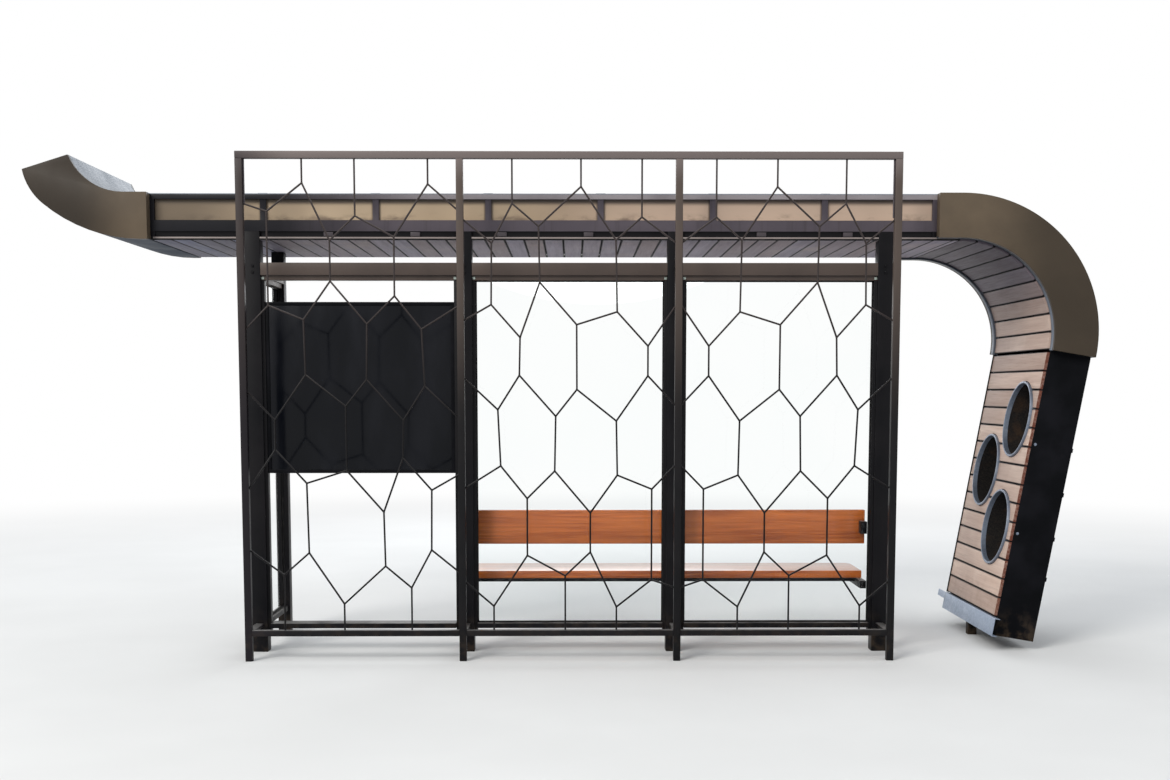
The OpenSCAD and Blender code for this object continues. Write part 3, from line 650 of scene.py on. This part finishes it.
def add_rod(bm, points, radius, segments=10):
    """A round rod along a bent line, mitred at its bends and closed at its ends."""
    points = [Vector(point) for point in points]
    steps = [(after - before).normalized() for before, after in zip(points, points[1:])]
    across = Vector((0, 1, 0))
    other = steps[0].cross(across)
    ring = [points[0] + radius * (across * cos + other * sin) for cos, sin in circle(segments)]
    rings = [[bm.verts.new(place) for place in ring]]
    for i, step in enumerate(steps):
        end = points[i + 1]
        plane = step if i == len(steps) - 1 else step + steps[i + 1]
        ring = [place + step * ((end - place).dot(plane) / step.dot(plane)) for place in ring]
        rings.append([bm.verts.new(place) for place in ring])
    for near, far in zip(rings, rings[1:]):
        for k in range(segments):
            j = (k + 1) % segments
            bm.faces.new((near[k], near[j], far[j], far[k]))
    bm.faces.new(reversed(rings[0]))
    bm.faces.new(rings[-1])


def add_lathe(bm, profile, turn, segments=64):
    """A closed solid of revolution about local X from (radius, x) points; the ends lie on the axis."""
    rings = []
    for radius, x in profile:
        places = [(x, radius * cos, radius * sin) for cos, sin in (circle(segments) if radius else [(0, 0)])]
        rings.append([bm.verts.new(turn @ Vector(place)) for place in places])
    for near, far in zip(rings, rings[1:]):
        for k in range(segments):
            j = (k + 1) % segments
            if len(near) == 1:
                bm.faces.new((near[0], far[j], far[k]))
            elif len(far) == 1:
                bm.faces.new((near[k], near[j], far[0]))
            else:
                bm.faces.new((near[k], near[j], far[j], far[k]))


def leg_place(radius, y, down):
    """Place of a point of the leg: distance from the curve's centre line, Y, and distance down the leg."""
    return ON_LEG @ Vector((radius, y, -down))


# Copies of CAD nodes with eased edges

WELD = 1e-5
FLAT_ANGLE = math.radians(0.5)
SHARP_ANGLE = math.radians(35)
# Width of the bevel on each node's edges
EASED = {
    "bench_seat": 0.005, "bench_back": 0.005, "display_panel": 0.003,
    "front_post": 0.004, "trellis_top_rail": 0.003, "trellis_bottom_rail": 0.003,
    "base_rail": 0.003, "back_beam": 0.003, "side_beam": 0.003,
    "bench_brackets": 0.0015, "trellis_ties": 0.001, "soffit_boards": 0.0018,
    "leg_boards": 0.0018, "arch_boards": 0.0018, "leg_skirt": 0.0012,
    "rear_roof_frame": 0.0015, "front_roof_frame": 0.0015, "leg_foot": 0.002,
    "upsweep_cheeks": 0.0015, "arch_cheeks": 0.0015, "arch_trims": 0.0012,
    "leg_side_rear": 0.0012, "leg_side_front": 0.0012,
    "trellis_post_1": 0.003, "column_1": 0.003, "trellis_post_2": 0.003, "column_2": 0.003,
    "trellis_post_3": 0.003, "column_3": 0.003, "trellis_post_4": 0.003, "column_4": 0.003,
    "planter_1": 0.0015, "planter_2": 0.0015, "planter_3": 0.0015,
}


def soften(node, width):
    """Shows a copy of a CAD node with eased edges in the node's place."""
    bm = bmesh.new()
    bm.from_mesh(nodes[node].data)
    bmesh.ops.remove_doubles(bm, verts=bm.verts, dist=WELD)
    bmesh.ops.dissolve_limit(bm, angle_limit=FLAT_ANGLE, verts=bm.verts, edges=bm.edges)
    sharp = [edge for edge in bm.edges if len(edge.link_faces) == 2 and edge.calc_face_angle() > SHARP_ANGLE]
    bmesh.ops.bevel(bm, geom=sharp, offset=width, clamp_overlap=True, **BEVEL)
    piece = new_piece(node + "_eased", bm, SLOTS[node], finish_of(node))
    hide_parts(node)


for name, width in EASED.items():
    soften(name, width)


# Net of the climbing frame

NET_H = NET_HIGH - NET_LOW
NET_MIDDLE = (NET_LOW + NET_HIGH) / 2
NET_LAP = 0.003
NET_REACH = NET_H / 2 + NET_LAP
NET_SIDE = BAY / 2 - TRELLIS_HALF + NET_LAP
UPRIGHTS = 3
UPRIGHT_R, WELD_R = ROD_R * 0.96, ROD_R * 1.22
# Its joints, row by row from the top, in units of a thousandth of a panel's width and height
NET_UNIT = 1000
NET_ROWS = [
    [[0, 910], [120, 891], [283, 950], [405, 831], [522, 882], [698, 838], [855, 948], [1000, 890]],
    [[0, 638], [120, 695], [280, 665], [405, 746], [570, 656], [698, 715], [820, 645], [1000, 697]],
    [[0, 522], [140, 453], [285, 549], [467, 482], [565, 539], [732, 452], [832, 525], [1000, 452]],
    [[0, 296], [140, 390], [282, 318], [468, 345], [637, 256], [728, 372], [860, 303], [1000, 340]],
    [[0, 178], [170, 120], [288, 168], [448, 57], [642, 139], [762, 92], [857, 174], [1000, 120]],
]


def net_place(point, flip_x, flip_z):
    """Place of a point of the net, from the middle of its panel."""
    across = (point[0] / NET_UNIT - 0.5) * BAY * (-1 if flip_x else 1)
    up = (point[1] / NET_UNIT - 0.5) * NET_H * (-1 if flip_z else 1)
    return across, up


def clipped(inner, outer):
    """Point where the rod from inner to outer meets the post, or outer itself where it meets none."""
    if abs(outer[0]) <= NET_SIDE:
        return outer
    run, rise = outer[0] - inner[0], outer[1] - inner[1]
    share = (math.copysign(NET_SIDE, outer[0]) - inner[0]) / run
    return (outer[0] + (share - 1) * run, inner[1] + share * rise)


def net_panel(bay, flip_x, flip_z):
    """Zigzag rods, the uprights between them and a weld at each joint."""
    bm = bmesh.new()
    middle = COLUMN_X[bay] + BAY / 2

    def world(point):
        return (middle + point[0], TRELLIS_Y, NET_MIDDLE + max(-NET_REACH, min(NET_REACH, point[1])))

    rows = [[net_place(point, flip_x, flip_z) for point in row] for row in NET_ROWS]
    for row in rows:
        line = [clipped(row[1], row[0])] + row[1:-1] + [clipped(row[-2], row[-1])]
        add_rod(bm, [world(point) for point in line], ROD_R)
    for level in range(len(rows) + 1):
        for i in range(UPRIGHTS):
            index = 2 * i + (2 if level % 2 == 0 else 1)
            joints = [row[index] for row in rows[max(level - 1, 0):level + 1]]
            ends = list(joints)
            if level == 0:
                ends.insert(0, (joints[0][0], -NET_REACH if flip_z else NET_REACH))
            if level == len(rows):
                ends.append((joints[0][0], NET_REACH if flip_z else -NET_REACH))
            add_rod(bm, [world(point) for point in ends], UPRIGHT_R)
            for point in joints:
                made = bmesh.ops.create_icosphere(bm, subdivisions=2, radius=WELD_R)["verts"]
                bmesh.ops.transform(bm, matrix=Matrix.Translation(world(point)), verts=made)
    piece = new_piece(f"net_rods_{bay + 1}", bm, "trellis_steel", NET_PAINT, 50)
    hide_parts(f"trellis_net_{bay + 1}")


def net_border():
    """Rods down the outer posts, from the top rail to the first row of the net."""
    bm = bmesh.new()
    inset = TRELLIS_HALF + 0.005
    left_end, right_end = 2.849, 2.762
    for x, low in ((COLUMN_X[0] + inset, left_end), (COLUMN_X[3] - inset, right_end)):
        add_rod(bm, [(x, TRELLIS_Y, NET_HIGH + NET_LAP), (x, TRELLIS_Y, low)], ROD_R)
    new_piece("net_border_rods", bm, "trellis_steel", CLIP_PAINT, 50)


net_panel(0, False, False)
net_panel(1, True, True)
net_panel(2, False, True)
net_border()


# Glazing details

def gasket(bm, left, right, low, high, half, width=0.008, thick=0.004, turn=None):
    """Four strips round each face of a pane that stands along X and is 2 * half thick."""
    lap = 0.0005
    for y0, y1 in ((half - lap, half + thick), (-half - thick, -half + lap)):
        for z in (low, high - width):
            add_box(bm, (left, y0, z), (right, y1, z + width), 0.001, turn)
        for x in (left, right - width):
            add_box(bm, (x, y0, low + width), (x + width, y1, high - width), 0.001, turn)


def pane_gaskets():
    """Rubber round the two panes at the back and the one in the left side."""
    bm = bmesh.new()
    for left, right in ((COLUMN_X[1], COLUMN_X[2]), (COLUMN_X[2], COLUMN_X[3])):
        gasket(bm, left + CHANNEL_HALF, right - CHANNEL_HALF, BASE_TOP, HEAD_LOW, PANE_HALF)
    side_turn = Matrix.Translation((COLUMN_X[0], 0, 0)) @ Matrix.Rotation(math.radians(90), 4, "Z")
    gasket(bm, SIDE_PANE_START, SIDE_PANE_END, BASE_TOP, HEAD_LOW, PANE_HALF, turn=side_turn)
    new_piece("pane_gaskets", bm, "black_panel", RUBBER)


def display_bezel():
    """A dark frame round both faces of the display panel."""
    bm = bmesh.new()
    low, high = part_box("display_panel")
    gasket(bm, low.x, high.x, low.z, high.z, high.y, width=0.022, thick=0.005)
    new_piece("display_bezel", bm, "black_panel", MATERIALS["black_steel"])


def corner_clips():
    """Light clips in the upper corners of the bays, under the beam."""
    bm = bmesh.new()
    from_column, half_w = 0.0605, 0.009
    rear, front = -0.034, -0.0295
    low, high = HEAD_LOW + 0.0055, HEAD_LOW + 0.0215
    for i in range(3):
        for x in (COLUMN_X[i] + from_column, COLUMN_X[i + 1] - from_column):
            add_box(bm, (x - half_w, rear, low), (x + half_w, front, high), 0.0015)
    new_piece("corner_clips", bm, "clear_glass", CLIP)


pane_gaskets()
display_bezel()
corner_clips()


# Roof details

# The upswept end: its distance from the flat frame and the radius of its top
UP_LEAD, UP_R = 0.149, 0.362


def board_end_strips():
    """Light strips over the flat boards' ends, with a dark seal below.

    They are whole along the road side, and at the back they stop at the columns.
    """
    strips, seals = bmesh.new(), bmesh.new()
    left, right = LEFT_X + END_JOINT, ARCH_X - BOARD_GAP
    face, depth, strip_h, clear, inset = 0.0005, 0.006, 0.0105, 0.0002, 0.001
    sides = [x + side * (COLUMN_HALF + clear) for x in COLUMN_X for side in (-1, 1)]
    stops = [left] + sides + [right]
    spans = [(REAR_Y + face, REAR_Y + depth, x0, x1) for x0, x1 in zip(stops[::2], stops[1::2])]
    spans.append((FRONT_Y - depth, FRONT_Y - face, left, right))
    for y0, y1, x0, x1 in spans:
        add_box(strips, (x0, y0, BACK_Z - strip_h), (x1, y1, BACK_Z - face), 0.001)
        add_box(seals, (x0, y0 + inset, SOFFIT_Z + clear), (x1, y1 - inset, BACK_Z - strip_h), 0.0005)
    new_piece("board_end_strips", strips, "bronze_sheet", EDGE_STRIP)
    new_piece("board_end_seals", seals, "black_panel", RUBBER)


def clip_blocks():
    """Clip blocks in the set-back strip under the flat frame's lower bar."""
    bm = bmesh.new()
    first, pitch, count, half_w = -0.863, 0.5527, 7, 0.03
    low, high = BACK_Z + 0.004, BACK_Z + 0.031
    face, depth = 0.002, 0.02
    for y0, y1 in ((REAR_Y + face, REAR_Y + depth), (FRONT_Y - depth, FRONT_Y - face)):
        for k in range(count):
            x = first + pitch * k
            add_box(bm, (x - half_w, y0, low), (x + half_w, y1, high), 0.002)
    new_piece("clip_blocks", bm, "roof_frame_steel", CLIP_PAINT)


def board_joint():
    """Dark strip in the joint between the flat boards and the upswept end."""
    bm = bmesh.new()
    near, far, inset, above, below = 0.001, 0.0005, 0.007, 0.004, 0.001
    low = (LEFT_X + near, REAR_Y + inset, SOFFIT_Z + above)
    high = (LEFT_X + END_JOINT - far, FRONT_Y - inset, BACK_Z - below)
    add_box(bm, low, high, 0.001)
    new_piece("board_joint", bm, "black_panel", RUBBER)


def arc_rivets(bm, centre, radius, first, step, count):
    """Rivets along both edges of a sheet that is bent round an axis along Y.

    The angles are in degrees from straight up, or from straight down where the radius is negative.
    """
    inset = 0.02
    for k in range(count):
        angle = math.radians(first + step * k)
        outward = Vector((math.sin(angle), 0, math.cos(angle)))
        for y in (SKIN_Y[0] + inset, SKIN_Y[1] - inset):
            add_rivet(bm, Vector((centre[0], y, centre[1])) + outward * radius, outward)


def roof_covers():
    """Cover strips over the flat roof's sheet joints, and rivets along the flat roof and the upswept end."""
    covers, rivets = bmesh.new(), bmesh.new()
    joints = [LEFT_X + i * FIELD for i in range(1, FIELDS)]
    cover_top, cover_half, cover_inset, lap = ROOF_TOP + 0.0025, 0.03, 0.004, 0.0005
    count_across, count_along, end_inset = 8, 29, 0.04
    from_joint, from_edge, from_cover = 0.021, 0.017, 0.01
    for x in joints:
        low = (x - cover_half, REAR_Y + cover_inset, ROOF_TOP - lap)
        add_box(covers, low, (x + cover_half, FRONT_Y - cover_inset, cover_top), 0.001)
        for k in range(count_across):
            y = REAR_Y + end_inset + k * (FRONT_Y - REAR_Y - 2 * end_inset) / (count_across - 1)
            for side in (-from_joint, from_joint):
                add_rivet(rivets, (x + side, y, cover_top), (0, 0, 1))
    for k in range(count_along):
        x = LEFT_X + end_inset + k * (RIGHT_X - LEFT_X - 2 * end_inset) / (count_along - 1)
        if min(abs(x - joint) for joint in joints) > cover_half + from_cover:
            for y in (REAR_Y + from_edge, FRONT_Y - from_edge):
                add_rivet(rivets, (x, y, ROOF_TOP), (0, 0, 1))
    arc_rivets(rivets, (LEFT_X - UP_LEAD, ROOF_TOP + UP_R), -UP_R, first=4, step=12, count=6)
    new_piece("roof_cover_strips", covers, "roof_sheet")
    new_piece("roof_rivets", rivets, "roof_sheet")


def curve_rivets():
    """Rivets round the outer skin of the curve."""
    bm = bmesh.new()
    arc_rivets(bm, (ARCH_X, ARCH_Z), ARCH_R, first=4, step=9, count=11)
    new_piece("curve_rivets", bm, "bronze_sheet")


board_end_strips()
clip_blocks()
board_joint()
roof_covers()
curve_rivets()


# Leg details

def planter_liners():
    """Felt cups in the planters; the tubes' rims stay bare."""
    bm = bmesh.new()
    outer, inner, bottom, rim = 0.2415, 0.2365, 0.2172, 0.016
    # From the axis out, over the rim and back in: radius, and depth behind the boards' face
    profile = [(0, bottom), (outer, bottom), (outer, rim + 0.004), (outer - 0.002, rim), (inner, rim + 0.005),
               (inner - 0.002, 0.19), (inner - 0.0125, 0.206), (0, 0.211)]
    for y, down in PLANTERS.values():
        place = Matrix.Translation(leg_place(FACE_R, y, down)) @ Matrix.Rotation(LEAN, 4, "Y")
        add_lathe(bm, profile, place)
    new_piece("planter_liners", bm, "black_panel", LINER)


def leg_fixings():
    """Cladding hooks and bolts on the side plates, at their distances down the leg."""
    hooks, bolts = bmesh.new(), bmesh.new()
    rear, front = LEG_SIDE_Y
    hook_places, hook_near, hook_far = (0.610, 0.904, 1.198, 1.466), 0.870, 0.887
    half_h, proud, length = 0.014, 0.002, 0.03
    bolt_places, bolt_radius, bolt_size = (0.610, 1.1997), 0.6375, 0.011
    for down in hook_places:
        for y0, y1 in ((rear - proud, rear + length), (front - length, front + proud)):
            add_box(hooks, (hook_near, y0, -down - half_h), (hook_far, y1, -down + half_h), 0.0015, ON_LEG)
    for down in bolt_places:
        add_bolt(bolts, leg_place(bolt_radius, rear, down), (0, -1, 0), bolt_size)
        add_bolt(bolts, leg_place(bolt_radius, front, down), (0, 1, 0), bolt_size)
    new_piece("cladding_hooks", hooks, "black_steel")
    new_piece("leg_bolts", bolts, "galvanised_steel", PLANTER_ZINC)


def board_end_seal():
    """A seal along the far ends of the leg's boards."""
    bm = bmesh.new()
    clear, proud, lap, length = 0.0002, 0.0112, 0.006, 1.762
    low = (FACE_R - lap, LEG_SIDE_Y[1] + clear, -length)
    add_box(bm, low, (BOARD_R, LEG_SIDE_Y[1] + proud, 0.0), 0.001, ON_LEG)
    new_piece("board_end_seal", bm, "black_panel", RUBBER)


planter_liners()
leg_fixings()
board_end_seal()


# Bolts of the frame

def column_bolts():
    """Bolts at the beam, at the foot of each column and on the ties to the trellis."""
    bm = bmesh.new()
    beam_heights, foot_height, foot_half = (2.456, 2.496), 0.12, 0.028
    tie_place, tie_top = TRELLIS_Y + 0.06, 0.189
    beam_size, foot_size = 0.014, 0.012
    for x in COLUMN_X:
        for z in beam_heights:
            add_bolt(bm, (x, REAR_Y, z), (0, -1, 0), beam_size)
        for side in (-foot_half, foot_half):
            add_bolt(bm, (x + side, REAR_Y, foot_height), (0, -1, 0), foot_size)
        add_bolt(bm, (x, tie_place, tie_top), (0, 0, 1), foot_size)
    new_piece("column_bolts", bm, "frame_steel")


column_bolts()


# Stage, light and camera

SKY = (0.93, 0.96, 1.0, 1.0)
SKY_STRENGTH = 0.85
WHITE = (1, 1, 1, 1)
FLOOR_TONES = ((0.72, 0.72, 0.71, 1), (0.75, 0.75, 0.74, 1))
FLOOR_UNSEEN = (0.27, 0.29, 0.33, 1)
FLOOR_CENTRE = (0.6, 0.4, 0.0)
FADE_START, FADE_END = 5.0, 15.0
FLOOR_HALF = 60.0


def seen_directly(tree):
    """1 for camera, mirror and glass rays, which see the plain pale background."""
    path = tree.nodes.new("ShaderNodeLightPath")
    value = path.outputs["Is Camera Ray"]
    for name in ("Is Glossy Ray", "Is Transmission Ray"):
        node = tree.nodes.new("ShaderNodeMath")
        node.operation = "MAXIMUM"
        tree.links.new(value, node.inputs[0])
        tree.links.new(path.outputs[name], node.inputs[1])
        value = node.outputs[0]
    return value


def floor_material():
    """Pale where it is seen, darker to the light that it throws back, and fading into the white behind."""
    s = Shader("floor_pale", 0.85, specular=0.0)
    seen = seen_directly(s.tree)
    pale = s.mix(s.ramp(s.noise(0.6, 3.0), 0.3, 0.7), *FLOOR_TONES)
    s.to("Base Color", s.mix(seen, FLOOR_UNSEEN, pale))
    away = s.new("ShaderNodeVectorMath")
    away.operation = "DISTANCE"
    s.link(s.place, away.inputs[0])
    away.inputs[1].default_value = FLOOR_CENTRE
    glow = s.new("ShaderNodeEmission")
    blend = s.new("ShaderNodeMixShader")
    s.link(s.times(seen, s.ramp(away.outputs["Value"], FADE_START, FADE_END)), blend.inputs[0])
    s.link(s.bsdf.outputs[0], blend.inputs[1])
    s.link(glow.outputs[0], blend.inputs[2])
    s.link(blend.outputs[0], s.tree.nodes["Material Output"].inputs["Surface"])
    return s.material


def add_floor():
    bm = bmesh.new()
    bmesh.ops.create_grid(bm, x_segments=1, y_segments=1, size=FLOOR_HALF)
    mesh = bpy.data.meshes.new("floor")
    bm.to_mesh(mesh)
    bm.free()
    mesh.materials.append(floor_material())
    floor = bpy.data.objects.new("floor", mesh)
    bpy.context.scene.collection.objects.link(floor)


def area_light(name, place, aim, size, energy, colour):
    light = bpy.data.lights.new(name, "AREA")
    light.shape = "DISK"
    light.size = size
    light.energy = energy
    light.color = colour
    obj = bpy.data.objects.new(name, light)
    obj.location = place
    obj.rotation_euler = (Vector(aim) - Vector(place)).to_track_quat("-Z", "Y").to_euler()
    bpy.context.scene.collection.objects.link(obj)


def add_world():
    """Soft sky light on the object, and plain white where the world is seen directly."""
    world = bpy.data.worlds.new("studio")
    bpy.context.scene.world = world
    world.use_nodes = True
    tree = world.node_tree
    tree.nodes.clear()
    blend = tree.nodes.new("ShaderNodeMixShader")
    out = tree.nodes.new("ShaderNodeOutputWorld")
    tree.links.new(seen_directly(tree), blend.inputs[0])
    for i, (colour, strength) in enumerate(((SKY, SKY_STRENGTH), (WHITE, 1.0))):
        light = tree.nodes.new("ShaderNodeBackground")
        light.inputs["Color"].default_value = colour
        light.inputs["Strength"].default_value = strength
        tree.links.new(light.outputs[0], blend.inputs[i + 1])
    tree.links.new(blend.outputs[0], out.inputs[0])


def add_camera():
    """The photograph's view: the focal length and the shift are given in pixels of its width."""
    photo_w, focal, shift, sensor = 1170, 1400, 129.6, 36.0
    pitch_down, turn = math.radians(5.25), math.radians(-0.49)
    data = bpy.data.cameras.new("camera")
    data.sensor_width = sensor
    data.lens = sensor * focal / photo_w
    data.shift_y = shift / photo_w
    data.clip_end = 200.0
    camera = bpy.data.objects.new("camera", data)
    camera.location = (0.695, -9.11, 1.70)
    camera.rotation_euler = (math.radians(90) - pitch_down, 0.0, turn)
    bpy.context.scene.collection.objects.link(camera)
    bpy.context.scene.camera = camera


add_floor()
area_light("key", place=(-13.0, -18.0, 15.7), aim=(0.8, 0.3, 1.6), size=11.0, energy=4400,
           colour=(1.0, 0.98, 0.94))
area_light("road_fill", place=(1.0, 9.0, 6.0), aim=(0.8, 0.5, 1.5), size=7.0, energy=260,
           colour=(0.94, 0.97, 1.0))
add_world()
add_camera()
bpy.context.scene.view_settings.view_transform = "Standard"

bpy.context.view_layer.update()
